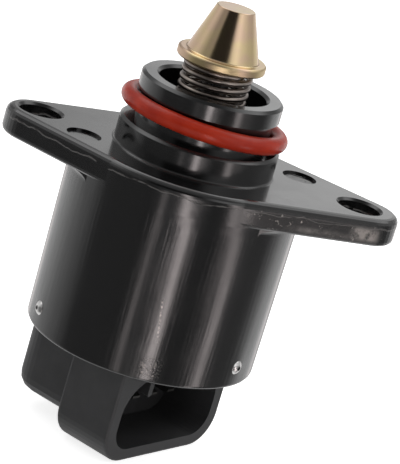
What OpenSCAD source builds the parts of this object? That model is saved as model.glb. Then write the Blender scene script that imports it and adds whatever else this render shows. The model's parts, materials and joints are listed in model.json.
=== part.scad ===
// Idle air control valve: a stepper motor in a cast housing drives a tapered pintle in and out.
// Z runs along the valve axis towards the pintle. The flange's mating face is at z = 0.
// The flange's long side runs along X. All sizes are millimetres.

/* [Flange] */
// Thickness of the mounting flange
flange_t = 3.8; // [3:0.1:6]
// Distance between the two bolt holes
hole_spacing = 45.7; // [43:0.1:52]
// Diameter of each bolt hole
hole_d = 6; // [4:0.1:7]
// Radius of the flange's rounded ends
flange_end_r = 5.2; // [4.5:0.1:7]
// How far inside the body's surface the flange's straight sides aim
flange_sink = 0.05; // [0.02:0.01:0.3]
// How far the flange's outline sits to one side of the valve axis
flange_shift = 1.5; // [0:0.1:2]
// How far the hole pattern sits to the same side
hole_shift = 1; // [0:0.1:2]
// Rounding of the flange's upper edge
flange_edge_r = 1; // [0.3:0.1:1.2]
// Rounding of the flange's lower edge
flange_under_r = 0.7; // [0.2:0.1:0.9]
// Fillet between the flange's underside and the body
flange_fillet_r = 1; // [0.5:0.1:1.5]
// Chamfer at the mouth of each bolt hole
hole_chamfer = 0.35; // [0.1:0.05:0.6]
// Diameter of the two shallow moulding dimples
dimple_d = 4.9; // [3:0.1:6]
// Depth of the dimples
dimple_depth = 0.35; // [0.1:0.05:1]
// Distance of the dimples from the valve axis
dimple_r = 15.8; // [15:0.1:17]
// Direction of the dimples, degrees from X
dimple_az = 20; // [14:1:24]

/* [Housing body] */
// Diameter of the body just under the flange
body_d = 33.1; // [32:0.1:33.3]
// Diameter of the body at its open rim, smaller for the casting draft
body_rim_d = 32.6; // [31.8:0.1:32.8]
// Length of the body from the mating face to the rim
body_len = 27.8; // [24:0.1:34]
// Rounding of the rim
rim_r = 0.5; // [0.2:0.1:0.8]
// Thickness of the body's wall where it is thinnest
wall_t = 1.6; // [1.2:0.1:2.4]
// Depth of the cavity's ceiling under the mating face
ceiling_z = 2.6; // [2:0.1:3]

/* [Nose] */
// Diameter of the shoulder that centres the valve in its port
boss_d = 22.6; // [21.6:0.1:24]
// Height of the shoulder above the mating face
boss_h = 3.7; // [3:0.1:6]
// Fillet at the foot of the shoulder
boss_fillet_r = 0.3; // [0.1:0.05:0.6]
// Width of the seal groove
groove_w = 4.2; // [3:0.1:5]
// Diameter of the groove's core
groove_core_d = 18.6; // [17:0.1:19.2]
// Diameter of the lip above the groove
lip_d = 20; // [18.6:0.1:21]
// Height of the lip above the groove
lip_h = 2.5; // [1.5:0.1:4]
// Chamfer on the lip and the shoulder
nose_chamfer = 0.4; // [0.2:0.1:0.6]
// Diameter of the nose bore
nose_bore_d = 15.2; // [14:0.1:15.8]
// Height of the bore's floor above the mating face
floor_z = 2; // [1.6:0.1:2.6]

/* [Nose seal] */
// Thickness of the O-ring
seal_d = 2.4; // [2:0.1:2.5]
// Gap between the O-ring and the groove's core
seal_slack = 0.25; // [0.1:0.05:0.4]
// Side on which the O-ring lies against the lip, degrees from X
seal_high_az = -127; // [-180:1:180]

/* [Pintle] */
// Height of the pintle's collar above the nose when the pintle is in
collar_lift = 3.2; // [2.6:0.1:5]
// Diameter of the collar
collar_d = 12.4; // [11.6:0.1:13]
// Thickness of the collar
collar_t = 1.3; // [0.8:0.1:2]
// Diameter of the cone at its foot
cone_foot_d = 9.3; // [8:0.1:10]
// Height of the straight foot of the cone
cone_foot_h = 1.2; // [0.6:0.1:2]
// Diameter of the flat tip
tip_d = 5.2; // [4.6:0.1:6.4]
// Height of the cone above its foot
cone_h = 5.5; // [4:0.1:8]
// Gap between the pintle's spigot and the spring round it
spigot_gap = 0.41; // [0.2:0.01:0.8]
// Length of the spigot
spigot_h = 1.4; // [1:0.1:2]

/* [Drive screw] */
// Diameter of the screw over its thread
screw_d = 4; // [3.6:0.1:4.2]
// Depth of each anti-rotation flat
screw_flat = 0.3; // [0.2:0.05:0.5]
// Space between the screw's end and the bottom of the hub's bore
screw_end_gap = 0.3; // [0.2:0.1:1]
// Depth of the screw's seat inside the pintle
screw_seat = 4.4; // [3:0.1:5]
// Running clearance of the screw in the nut and the guide
screw_gap = 0.06; // [0.04:0.01:0.1]

/* [Pintle spring] */
// Thickness of the spring wire
wire_d = 0.84; // [0.6:0.02:0.9]
// Outer diameter of the spring
spring_d = 9.9; // [9.5:0.1:11]
// Number of turns
spring_turns = 9; // [7:0.5:10]
// Gap between the spring's ends and their seats
spring_gap = 0.04; // [0.02:0.01:0.1]

/* [Guide bush] */
// Diameter of the bush's sleeve
bush_d = 8.2; // [7.6:0.1:9]
// Diameter of the bush's collar, the spring's lower seat
bush_collar_d = 12; // [11:0.1:14]
// Thickness of the bush's collar
bush_collar_t = 1; // [0.6:0.1:1.4]

/* [Front bearing] */
// Outer diameter of the bearing
bearing_d = 14; // [13.6:0.1:14.4]
// Bore of the bearing
bearing_bore = 7; // [6.8:0.1:7.2]
// Width of the bearing
bearing_w = 3.5; // [3.2:0.1:3.6]
// Thickness of each race
race_t = 1.05; // [0.8:0.05:1.1]
// Diameter of each ball
ball_d = 1.9; // [1.6:0.1:2]
// Thickness of the cage that spaces the balls
cage_t = 1; // [0.6:0.05:1.1]
// Number of balls
ball_count = 9; // [7:1:11]
// Gap between the balls and their tracks
ball_gap = 0.08; // [0.05:0.01:0.12]

/* [Motor] */
// Outer diameter of the rotor magnet
rotor_d = 16; // [15:0.1:16.2]
// Diameter of the rotor hub inside the magnet
hub_d = 8.8; // [8.4:0.1:9.6]
// Gap between the rotor magnet and the pole claws
air_gap = 0.3; // [0.2:0.05:0.5]
// Thickness of the steel of the stator cups and plates
steel_t = 0.8; // [0.6:0.05:1]
// Height of the space that the wave washer works in
washer_room = 1.15; // [0.9:0.05:1.6]
// Number of claws on each plate
claw_count = 6; // [4:1:8]
// Share of the claw pitch that a claw covers
claw_share = 0.34; // [0.25:0.01:0.4]
// Diameter of the brass nut moulded in the hub
nut_d = 6.4; // [6:0.1:7]
// Length of the nut
nut_len = 8; // [6:0.1:10]
// Diameter of the hub's rear journal
journal_d = 5; // [4.4:0.1:5.4]
// Running clearance of the rear journal
journal_gap = 0.05; // [0.03:0.01:0.1]

/* [End cap] */
// Gap between the cap's plug and the cavity
plug_gap = 0.12; // [0.05:0.01:0.2]
// Cover of the plug above the locking pins
plug_cover = 0.35; // [0.2:0.05:0.8]
// Direction in which the connector opens, degrees from X
conn_az = -33; // [-60:1:0]
// Distance of the connector's mouth from the valve axis
mouth_x = 8; // [7:0.1:10]
// Outer width of the connector shroud
shroud_w = 24.8; // [24:0.1:26]
// Length of the shroud behind its mouth
shroud_len = 9.4; // [8.6:0.1:11]
// Height of the shroud below the rim
shroud_h = 14.1; // [13.6:0.1:16]
// Radius of the shroud's lower corners
shroud_r = 4.7; // [4:0.1:6]
// Rounding of the shroud's front and back edges
shroud_edge_r = 0.4; // [0.2:0.1:0.8]
// Wall on each side of the D-shaped socket
socket_side = 1.95; // [1.4:0.05:2.6]
// Wall behind the socket
socket_back = 1.1; // [0.9:0.1:2]
// Wall under the socket
socket_floor = 1.8; // [1.4:0.1:2.4]
// Wall over the socket
socket_roof = 1.8; // [1:0.1:2.4]
// Radius of the socket's lower corners
socket_low_r = 3.4; // [2.5:0.1:4]
// Radius of the socket's upper corners
socket_top_r = 5.2; // [4:0.1:5.2]
// Width of the keying rib that hangs from the socket's roof
key_w = 0.9; // [0.6:0.1:1.5]
// Height of the rib
key_h = 3; // [2:0.1:3.6]
// Distance of the rib to one side of the socket's middle
key_side = 4.8; // [4.6:0.1:5.4]
// Width of the block behind the shroud
block_w = 18.6; // [17:0.1:20]
// How far the block reaches behind the valve axis
block_back = 13.6; // [11:0.1:14]
// Height of the block below the rim
block_h = 11.9; // [10:0.1:13]
// Radius of the block's upright corners
block_r = 4; // [3:0.1:5]
// Rounding of the block's lower edge
block_edge_r = 2.4; // [1:0.1:3]

/* [Terminals] */
// Width of each terminal blade
blade_w = 1.5; // [1.2:0.1:2]
// Thickness of each blade
blade_t = 0.8; // [0.6:0.1:1]
// Distance between neighbouring blades
blade_pitch = 3.9; // [3.4:0.1:4.2]
// Height of the blades above the socket's lower wall
blade_rise = 5.2; // [4.8:0.1:5.6]
// How far the blade tips stay inside the mouth
blade_inset = 4.4; // [2:0.1:5]
// Distance of the upright legs behind the valve axis
leg_back = 6.5; // [6.2:0.1:7.5]

/* [Cap fixing] */
// Number of locking pins round the rim
pin_count = 3; // [3:1:4]
// Diameter of each locking pin
pin_d = 2; // [1.2:0.1:2.2]
// Distance between the pins and the groove of the cap's seal
pin_land = 0.25; // [0.2:0.05:0.8]
// Direction of the first pin, degrees from X
pin_az = -30; // [-45:1:-15]
// How far each pin reaches inside the body
pin_len = 4; // [3:0.1:4.4]
// Height of each pin's dome outside the body
pin_dome = 0.45; // [0.2:0.05:0.6]
// Diameter of the punch mark in each dome
pin_mark_d = 0.5; // [0.3:0.05:0.8]
// Thickness of the cap's seal ring
cap_seal_d = 1.2; // [1:0.05:1.3]
// Distance between the rim and the cap's seal
seal_land = 0.6; // [0.4:0.05:1]

/* [Hidden] */

round_fn = 96;
fine_fn = 48;
// Overshoot of a cutting tool past the face it cuts
cut = 0.5;
// Small gap between parts that are assembled with a light fit
fit_gap = 0.05;
body_r = body_d / 2;

black_cast = [0.09, 0.09, 0.1];
black_plastic = [0.13, 0.13, 0.14];
red_rubber = [0.62, 0.13, 0.08];
brass = [0.76, 0.62, 0.38];
steel = [0.62, 0.63, 0.65];
dark_steel = [0.3, 0.27, 0.26];
ferrite = [0.2, 0.2, 0.22];
nylon = [0.9, 0.89, 0.85];
copper = [0.72, 0.4, 0.2];

// Play between pieces that may touch but aren't pressed together
touch_gap = 0.02;
// Space between pieces that pass close by each other
pass_gap = 0.4;

// Heights along the valve axis, from the pintle down to the motor
groove_top = boss_h + groove_w;
nose_h = groove_top + lip_h;
seal_z = boss_h + groove_w / 2;
collar_z = nose_h + collar_lift;
collar_top = collar_z + collar_t;
foot_top = collar_top + cone_foot_h;
tip_z = foot_top + cone_h;
bush_top = floor_z + bush_collar_t;
bearing_top = -4 * fit_gap;
bearing_low = bearing_top - bearing_w;
bearing_mid = (bearing_top + bearing_low) / 2;
bearing_boss_low = bearing_low - 3 * fit_gap;
stator_top = bearing_boss_low - 2 * fit_gap;

// Heights in the end cap, from the rim up
rim_z = -body_len;
cap_seal_z = rim_z + seal_land + cap_seal_d / 2;
pin_z = cap_seal_z + cap_seal_d / 2 + pin_land + pin_d / 2;
plug_top = pin_z + pin_d / 2 + plug_cover;

// The two stator stages share the space between the front bearing and the wave washer
stator_low = plug_top + washer_room;
stage_h = (stator_top - stator_low) / 2;
rotor_inset = steel_t * 0.8;
rotor_top = stator_top - rotor_inset;
rotor_low = stator_low + rotor_inset;
hub_low = rotor_low - pass_gap;
// Depth of the end cap's pocket for the rear bush
bush_rear_h = 2.9;
bush_rear_low = plug_top - bush_rear_h;
journal_low = bush_rear_low + pass_gap;
nut_top = rotor_top - pass_gap;
// The hub's bore is full width down to here, and its drill point reaches into the journal
bore_floor_t = 0.6;
bore_low = hub_low + bore_floor_t;
screw_low = bore_low + screw_end_gap;

// Heights in the connector, from its underside up
shroud_low = rim_z - shroud_h;
socket_low = shroud_low + socket_floor;
socket_top = rim_z - socket_roof;
socket_h = socket_top - socket_low;
blade_z = socket_low + blade_rise;
// The terminals' legs stand out of the plug by this much, for the winding wires
leg_stand = 0.6;
leg_top = plug_top + leg_stand;

// Radii and widths that follow from the sizes above
cavity_r = min(body_d, body_rim_d) / 2 - wall_t;
claw_r = rotor_d / 2 + air_gap;
claw_out_r = claw_r + steel_t;
cup_r = cavity_r - 2 * fit_gap;
cup_in_r = cup_r - steel_t;
plug_r = cavity_r - plug_gap;
seal_r = groove_core_d / 2 + seal_slack + seal_d / 2;
// The O-ring lies aslant in its groove, against the lip on one side and the shoulder on the other
seal_tilt = asin(((groove_w - seal_d) / 2 - touch_gap) / seal_r);
cap_seal_r = cavity_r - touch_gap - cap_seal_d / 2;
cap_groove_r = cap_seal_r - cap_seal_d / 2 - touch_gap;
track_r = (bearing_d + bearing_bore) / 4;
hub_bore_gap = 0.35;
hub_bore_r = screw_d / 2 + hub_bore_gap;
screw_hole_r = screw_d / 2 + screw_gap;
spigot_d = spring_d - 2 * wire_d - 2 * spigot_gap;
socket_w = shroud_w - 2 * socket_side;
socket_deep = shroud_len - socket_back;

function round_point(r, a) = [r * cos(a), r * sin(a)];

// Points of an arc, from angle a0 to a1, in n steps
function arc(cx, cy, r, a0, a1, n) =
    [for (i = [0 : n]) let (a = a0 + (a1 - a0) * i / n) [cx + r * cos(a), cy + r * sin(a)]];

// Flange outline, drawn inwards by inset: round ends and straight sides that run tangent to the body.
// Between the sides it keeps inside the body, which closes the outline there
side_r = body_d / 2 - flange_sink;
inner_r = side_r - 0.4;
inner_turn = 8;
end_l = flange_shift - hole_spacing / 2;
end_r = flange_shift + hole_spacing / 2;
turn_l = acos((side_r - flange_end_r) / abs(end_l));
turn_r = acos((side_r - flange_end_r) / end_r);
function flange_outline(inset) = concat(
    arc(end_r, 0, flange_end_r - inset, -turn_r, turn_r, 16),
    [round_point(side_r - inset, turn_r)],
    arc(0, 0, inner_r - inset, turn_r + inner_turn, 180 - turn_l - inner_turn, 8),
    [round_point(side_r - inset, 180 - turn_l)],
    arc(end_l, 0, flange_end_r - inset, 180 - turn_l, 180 + turn_l, 16),
    [round_point(side_r - inset, 180 + turn_l)],
    arc(0, 0, inner_r - inset, 180 + turn_l + inner_turn, 360 - turn_r - inner_turn, 8),
    [round_point(side_r - inset, -turn_r)]
);

// Block outline with two round corners at its back, drawn inwards by inset
function block_outline(x0, x1, half_w, r, inset) = concat(
    [[x1, half_w - inset]],
    arc(x0 + r, half_w - r, r - inset, 90, 180, 8),
    arc(x0 + r, -half_w + r, r - inset, 180, 270, 8),
    [[x1, -half_w + inset]]
);

// Skin between rings of points that all have the same count, from the lowest ring up
module ring_loft(rings) {
    n = len(rings[0]);
    levels = len(rings);
    points = [for (ring = rings) for (p = ring) p];
    sides = [for (k = [0 : levels - 2]) for (i = [0 : n - 1])
        let (j = (i + 1) % n)
        each [[k * n + i, k * n + n + i, k * n + j], [k * n + j, k * n + n + i, k * n + n + j]]];
    polyhedron(
        points = points,
        faces = concat([[for (i = [0 : n - 1]) i]], sides,
            [[for (i = [n - 1 : -1 : 0]) (levels - 1) * n + i]]),
        convexity = 4
    );
}

function at_height(outline, z) = [for (p = outline) [p[0], p[1], z]];

module tube(r_out, r_in, z_low, z_top, fn = round_fn) {
    translate([0, 0, z_low]) linear_extrude(z_top - z_low)
        difference() {
            circle(r = r_out, $fn = fn);
            circle(r = r_in, $fn = fn);
        }
}

module flange_plate() {
    under = [for (a = [0, 30, 60, 90])
        at_height(flange_outline(flange_under_r * (1 - sin(a))),
            -flange_t + flange_under_r * (1 - cos(a)))];
    upper = [for (a = [0, 22.5, 45, 67.5, 90])
        at_height(flange_outline(flange_edge_r * (1 - cos(a))),
            -flange_edge_r + flange_edge_r * sin(a))];
    ring_loft(concat(under, upper));
}

// Turned outline of the casting without its flange, from the lip round to the bore
module casting_turned() {
    body_rim_r = body_rim_d / 2;
    lip_r = lip_d / 2;
    boss_r = boss_d / 2;
    bore_r = nose_bore_d / 2;
    core_r = groove_core_d / 2;
    seat_r = bearing_d / 2;
    bearing_wall = 1.6;
    lip_chamfer = min(nose_chamfer, (lip_r - bore_r) / 3);
    rotate_extrude($fn = round_fn) polygon(concat(
        [[bore_r + lip_chamfer, nose_h], [lip_r - lip_chamfer, nose_h],
            [lip_r, nose_h - lip_chamfer], [lip_r, groove_top],
            [core_r, groove_top], [core_r, boss_h],
            [boss_r - nose_chamfer, boss_h], [boss_r, boss_h - nose_chamfer]],
        arc(boss_r + boss_fillet_r, boss_fillet_r, boss_fillet_r, 180, 270, 4),
        arc(body_r - flange_edge_r, -flange_edge_r, flange_edge_r, 90, 0, 6),
        [[body_r, -flange_t]],
        arc(body_rim_r - rim_r, rim_z + rim_r, rim_r, 0, -90, 4),
        [[cavity_r, rim_z], [cavity_r, -ceiling_z],
            [seat_r + bearing_wall, -ceiling_z], [seat_r + bearing_wall, bearing_boss_low],
            [seat_r, bearing_boss_low], [seat_r, bearing_top + fit_gap],
            [bush_d / 2, bearing_top + fit_gap], [bush_d / 2, floor_z],
            [bore_r, floor_z], [bore_r, nose_h - lip_chamfer]]
    ));
}

// Fillet that runs round the body under the flange, cut off at the flange's own outline
module flange_fillet() {
    low = -flange_t - flange_fillet_r;
    intersection() {
        rotate_extrude($fn = round_fn) polygon(concat(
            [[body_r - cut, low], [body_r - cut, -flange_t + fit_gap],
                [body_r + flange_fillet_r, -flange_t + fit_gap]],
            arc(body_r + flange_fillet_r, low, flange_fillet_r, 90, 180, 6)
        ));
        translate([0, 0, low - cut]) linear_extrude(flange_fillet_r + 2 * cut)
            polygon(flange_outline(flange_under_r));
    }
}

module bolt_holes() {
    for (side = [-1, 1]) translate([hole_shift + side * hole_spacing / 2, 0, 0]) {
        translate([0, 0, -flange_t - cut])
            cylinder(h = flange_t + 2 * cut, d = hole_d, $fn = fine_fn);
        translate([0, 0, -hole_chamfer])
            cylinder(h = hole_chamfer + cut, d1 = hole_d,
                d2 = hole_d + 2 * (hole_chamfer + cut), $fn = fine_fn);
    }
}

module dimples() {
    for (side = [0, 180]) rotate([0, 0, dimple_az + side]) translate([dimple_r, 0, -dimple_depth])
        cylinder(h = dimple_depth + cut, d = dimple_d, $fn = fine_fn);
}

module at_pins() {
    for (i = [0 : pin_count - 1])
        rotate([0, 0, pin_az + i * 360 / pin_count])
            translate([0, 0, pin_z]) rotate([0, 90, 0]) children();
}

module housing() {
    ear_root_r = body_r - flange_edge_r - flange_sink;
    widest_r = max(body_d, body_rim_d) / 2;
    color(black_cast) difference() {
        union() {
            casting_turned();
            difference() {
                flange_plate();
                translate([0, 0, -flange_t - cut])
                    cylinder(h = flange_t + 2 * cut, r = ear_root_r, $fn = round_fn);
            }
            flange_fillet();
        }
        bolt_holes();
        dimples();
        at_pins() translate([0, 0, cavity_r - cut])
            cylinder(h = widest_r - cavity_r + 2 * cut, d = pin_d, $fn = fine_fn);
    }
}

module o_ring() {
    color(red_rubber) translate([0, 0, seal_z]) rotate([0, 0, seal_high_az]) rotate([0, -seal_tilt, 0])
        rotate_extrude($fn = round_fn) translate([seal_r, 0]) circle(d = seal_d, $fn = 32);
}

module pintle() {
    collar_round = 0.35;
    tip_bevel = 0.15;
    color(brass) rotate_extrude($fn = round_fn) polygon(concat(
        [[screw_d / 2, collar_z - spigot_h], [spigot_d / 2, collar_z - spigot_h],
            [spigot_d / 2, collar_z]],
        arc(collar_d / 2 - collar_round, collar_z + collar_round, collar_round, -90, 0, 4),
        arc(collar_d / 2 - collar_round, collar_top - collar_round, collar_round, 0, 90, 4),
        [[cone_foot_d / 2, collar_top], [cone_foot_d / 2, foot_top],
            [tip_d / 2, tip_z - tip_bevel], [tip_d / 2 - tip_bevel, tip_z], [0, tip_z],
            [0, collar_z + screw_seat], [screw_d / 2, collar_z + screw_seat]]
    ));
}

module lead_screw() {
    lead_in = 0.5;
    top = collar_z + screw_seat - touch_gap;
    flat_top = collar_z - spigot_h - pass_gap;
    color(steel) difference() {
        translate([0, 0, screw_low]) union() {
            cylinder(h = lead_in, d1 = screw_d - 2 * lead_in, d2 = screw_d, $fn = fine_fn);
            translate([0, 0, lead_in]) cylinder(h = top - screw_low - lead_in, d = screw_d, $fn = fine_fn);
        }
        for (side = [-1, 1])
            translate([-screw_d, side * (screw_d - screw_flat) - screw_d / 2, screw_low - cut])
                cube([2 * screw_d, screw_d, flat_top - screw_low + cut]);
    }
}

// Wire wound on a helix, with the same count of points on every ring
module pintle_spring() {
    sides = 6;
    per_turn = 18;
    wire_r = wire_d / 2;
    coil_r = spring_d / 2 - wire_r;
    low = bush_top + spring_gap + wire_r;
    high = collar_z - spring_gap - wire_r;
    steps = ceil(spring_turns * per_turn);
    // The first and the last turn lie close to the next one, and the working turns share the rest
    close = wire_d + touch_gap;
    pitch = (high - low - 2 * close) / (spring_turns - 2);
    function climb(t) = let (u = t * spring_turns)
        u < 1 ? low + close * u
        : u > spring_turns - 1 ? high - close * (spring_turns - u)
        : low + close + pitch * (u - 1);
    rings = [for (k = [0 : steps]) let (t = k / steps, a = 360 * spring_turns * t, z = climb(t))
        [for (i = [0 : sides - 1]) let (b = -360 * i / sides, r = coil_r + wire_r * cos(b))
            [r * cos(a), r * sin(a), z + wire_r * sin(b)]]];
    color(dark_steel) ring_loft(rings);
}

module guide_bush() {
    low = bearing_top + 2 * fit_gap;
    hole_half = screw_d / 2 - screw_flat + screw_gap;
    color(nylon) difference() {
        union() {
            translate([0, 0, low]) cylinder(h = floor_z - low + fit_gap, d = bush_d - 2 * fit_gap,
                $fn = fine_fn);
            translate([0, 0, floor_z]) cylinder(h = bush_collar_t, d = bush_collar_d, $fn = fine_fn);
        }
        translate([0, 0, low - cut]) linear_extrude(bush_top - low + 2 * cut) intersection() {
            circle(r = screw_hole_r, $fn = fine_fn);
            square([4 * screw_d, 2 * hole_half], center = true);
        }
    }
}

// Track that the balls run in, cut from a race
module ball_track() {
    translate([0, 0, bearing_mid]) rotate_extrude($fn = round_fn)
        translate([track_r, 0]) circle(d = ball_d + 2 * ball_gap, $fn = 32);
}

module bearing_outer_race() {
    color(steel) difference() {
        tube(bearing_d / 2 - fit_gap, bearing_d / 2 - race_t, bearing_low, bearing_top);
        ball_track();
    }
}

module bearing_inner_race() {
    color(steel) difference() {
        tube(bearing_bore / 2 + race_t, bearing_bore / 2, bearing_low, bearing_top);
        ball_track();
    }
}

module at_balls() {
    for (i = [0 : ball_count - 1])
        rotate([0, 0, i * 360 / ball_count]) translate([track_r, 0, bearing_mid]) children();
}

module bearing_balls() {
    color(steel) at_balls() sphere(d = ball_d, $fn = 24);
}

module bearing_cage() {
    cage_rim_t = 0.35;
    half_h = ball_d / 2 + cage_rim_t;
    color(nylon) difference() {
        tube(track_r + cage_t / 2, track_r - cage_t / 2, bearing_mid - half_h, bearing_mid + half_h);
        at_balls() sphere(d = ball_d + 2 * ball_gap, $fn = 24);
    }
}

module rotor_magnet() {
    color(ferrite) tube(rotor_d / 2, hub_d / 2, rotor_low, rotor_top);
}

module rotor_hub() {
    hub_top = bearing_top - 2 * fit_gap;
    color(black_plastic) rotate_extrude($fn = round_fn) polygon([
        [hub_bore_r, hub_top], [bearing_bore / 2, hub_top], [bearing_bore / 2, bearing_low],
        [hub_d / 2, bearing_low], [hub_d / 2, hub_low], [journal_d / 2, hub_low],
        [journal_d / 2, journal_low], [0, journal_low], [0, bore_low - hub_bore_r],
        [hub_bore_r, bore_low], [hub_bore_r, nut_top - nut_len],
        [nut_d / 2, nut_top - nut_len], [nut_d / 2, nut_top], [hub_bore_r, nut_top]
    ]);
}

module rotor_nut() {
    color(brass) tube(nut_d / 2, screw_hole_r, nut_top - nut_len, nut_top, fine_fn);
}

module rear_bush() {
    color(brass) tube(bush_d / 2, journal_d / 2 + journal_gap, bush_rear_low, plug_top, fine_fn);
}

// Steel plate with a ring of claws bent up from its inner edge
module claw_plate(r_out, turn) {
    claw_len = stage_h - 2 * steel_t - 3 * fit_gap;
    gap_angle = 360 / claw_count * (1 - claw_share);
    rotate([0, 0, turn]) difference() {
        rotate_extrude($fn = round_fn) polygon([
            [claw_r, 0], [r_out, 0], [r_out, steel_t], [claw_out_r, steel_t],
            [claw_out_r, claw_len], [claw_r, claw_len]]);
        for (i = [0 : claw_count - 1])
            rotate([0, 0, i * 360 / claw_count]) translate([0, 0, steel_t + fit_gap])
                rotate_extrude(angle = gap_angle, $fn = round_fn)
                    translate([claw_r - cut, 0]) square([steel_t + 2 * cut, claw_len]);
    }
}

// Cup that closes one stage on the outside, with its own claws
module stator_cup() {
    claw_plate(cup_in_r + steel_t / 2, 0);
    tube(cup_r, cup_in_r, 0, stage_h - fit_gap);
}

module pole_plate() {
    claw_plate(cup_in_r - fit_gap, 180 / claw_count);
}

// One stage sits upside down so that its cup faces the nose
module front_stage() {
    translate([0, 0, stator_top]) mirror([0, 0, 1]) children();
}

module rear_stage() {
    translate([0, 0, stator_low]) children();
}

module stage_plate_place() {
    translate([0, 0, stage_h - fit_gap]) mirror([0, 0, 1]) children();
}

module stator_cup_front() { color(steel) front_stage() stator_cup(); }
module stator_cup_rear() { color(steel) rear_stage() stator_cup(); }
module pole_plate_front() { color(steel) front_stage() stage_plate_place() pole_plate(); }
module pole_plate_rear() { color(steel) rear_stage() stage_plate_place() pole_plate(); }

bobbin_low = steel_t + fit_gap;
bobbin_top = stage_h - 2 * fit_gap - steel_t;
bobbin_wall = 0.6;
bobbin_in_r = claw_out_r + fit_gap;
bobbin_core_r = bobbin_in_r + bobbin_wall;
bobbin_out_r = cup_in_r - fit_gap;

module bobbin() {
    rotate_extrude($fn = round_fn) polygon([
        [bobbin_in_r, bobbin_low], [bobbin_out_r, bobbin_low],
        [bobbin_out_r, bobbin_low + bobbin_wall], [bobbin_core_r, bobbin_low + bobbin_wall],
        [bobbin_core_r, bobbin_top - bobbin_wall], [bobbin_out_r, bobbin_top - bobbin_wall],
        [bobbin_out_r, bobbin_top], [bobbin_in_r, bobbin_top]]);
}

module winding() {
    tube(bobbin_out_r - pass_gap, bobbin_core_r, bobbin_low + bobbin_wall, bobbin_top - bobbin_wall);
}

module bobbin_front() { color(nylon) front_stage() bobbin(); }
module bobbin_rear() { color(nylon) rear_stage() bobbin(); }
module winding_front() { color(copper) front_stage() winding(); }
module winding_rear() { color(copper) rear_stage() winding(); }

// Spring washer that presses the stator stack against the housing
module wave_washer() {
    thick = 0.3;
    swing = (washer_room - thick) / 2 - fit_gap;
    mid = plug_top + washer_room / 2;
    r_out = cavity_r - pass_gap;
    ring_w = 1.5;
    r_in = r_out - ring_w;
    steps = 48;
    waves = 3;
    points = [for (k = [0 : steps - 1]) let (a = k * 360 / steps, z = mid + swing * cos(waves * a))
        each concat(at_height([round_point(r_in, a), round_point(r_out, a)], z - thick / 2),
            at_height([round_point(r_out, a), round_point(r_in, a)], z + thick / 2))];
    faces = [for (k = [0 : steps - 1]) for (i = [0 : 3])
        let (m = (k + 1) % steps, j = (i + 1) % 4)
        each [[k * 4 + i, m * 4 + i, k * 4 + j], [k * 4 + j, m * 4 + i, m * 4 + j]]];
    color(steel) polyhedron(points = points, faces = faces, convexity = 6);
}

// Outline of the shroud seen from its mouth, with a flat underside and round lower corners
function shroud_outline(inset) = let (half = shroud_w / 2) concat(
    [[half - inset, rim_z], [-half + inset, rim_z]],
    arc(-half + shroud_r, shroud_low + shroud_r, shroud_r - inset, 180, 270, 10),
    arc(half - shroud_r, shroud_low + shroud_r, shroud_r - inset, 270, 360, 10)
);

// Shroud with its front and back edges rounded
module shroud() {
    bends = [0, 30, 60, 90];
    function ring(x, inset) = [for (p = shroud_outline(inset)) [x, p[0], p[1]]];
    back = [for (a = bends)
        ring(mouth_x - shroud_len + shroud_edge_r * (1 - cos(a)), shroud_edge_r * (1 - sin(a)))];
    front = [for (a = bends)
        ring(mouth_x - shroud_edge_r * (1 - sin(a)), shroud_edge_r * (1 - cos(a)))];
    ring_loft(concat(back, front));
}

// D-shaped socket outline with smaller corners at the bottom than at the top
module socket_outline() {
    half = socket_w / 2;
    top_r = min(socket_top_r, socket_h / 2);
    low_r = min(socket_low_r, socket_h / 2);
    polygon(concat(
        arc(half - top_r, socket_top - top_r, top_r, 0, 90, 10),
        arc(-half + top_r, socket_top - top_r, top_r, 90, 180, 10),
        arc(-half + low_r, socket_low + low_r, low_r, 180, 270, 8),
        arc(half - low_r, socket_low + low_r, low_r, 270, 360, 8)
    ));
}

// Rib inside the socket's roof that lets only the right plug in
module key_rib() {
    tip_r = key_w / 2;
    y = -key_side;
    towards_mouth(mouth_x - socket_deep - fit_gap, mouth_x - shroud_edge_r) polygon(concat(
        [[y + tip_r, socket_top + cut], [y - tip_r, socket_top + cut]],
        arc(y, socket_top - key_h + tip_r, tip_r, 180, 360, 6)
    ));
}

// Turns the outline's plane upright, so that it is extruded towards the connector's mouth
module towards_mouth(x0, x1) {
    translate([x0, 0, 0]) rotate([90, 0, 90]) linear_extrude(x1 - x0) children();
}

module connector_block() {
    low = rim_z - block_h;
    front = mouth_x - shroud_len + socket_back - fit_gap;
    function ring(inset, z) =
        at_height(block_outline(-block_back, front, block_w / 2, block_r, inset), z);
    rounding = [for (a = [0, 22.5, 45, 67.5, 90])
        ring(block_edge_r * (1 - sin(a)), low + block_edge_r * (1 - cos(a)))];
    ring_loft(concat(rounding, [ring(0, rim_z)]));
}

module terminal(index) {
    y = (index - 2.5) * blade_pitch;
    taper = 0.6;
    taper_x = mouth_x - blade_inset - taper;
    rotate([0, 0, conn_az]) translate([0, y - blade_w / 2, 0]) {
        translate([-leg_back - blade_t, 0, blade_z - blade_t / 2])
            cube([taper_x + leg_back + blade_t, blade_w, blade_t]);
        translate([-leg_back - blade_t, 0, blade_z - blade_t / 2])
            cube([blade_t, blade_w, leg_top - blade_z + blade_t / 2]);
        translate([taper_x, blade_w, blade_z]) rotate([90, 0, 0]) linear_extrude(blade_w)
            polygon([[0, -blade_t / 2], [taper, -blade_t / 5], [taper, blade_t / 5], [0, blade_t / 2]]);
    }
}

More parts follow.
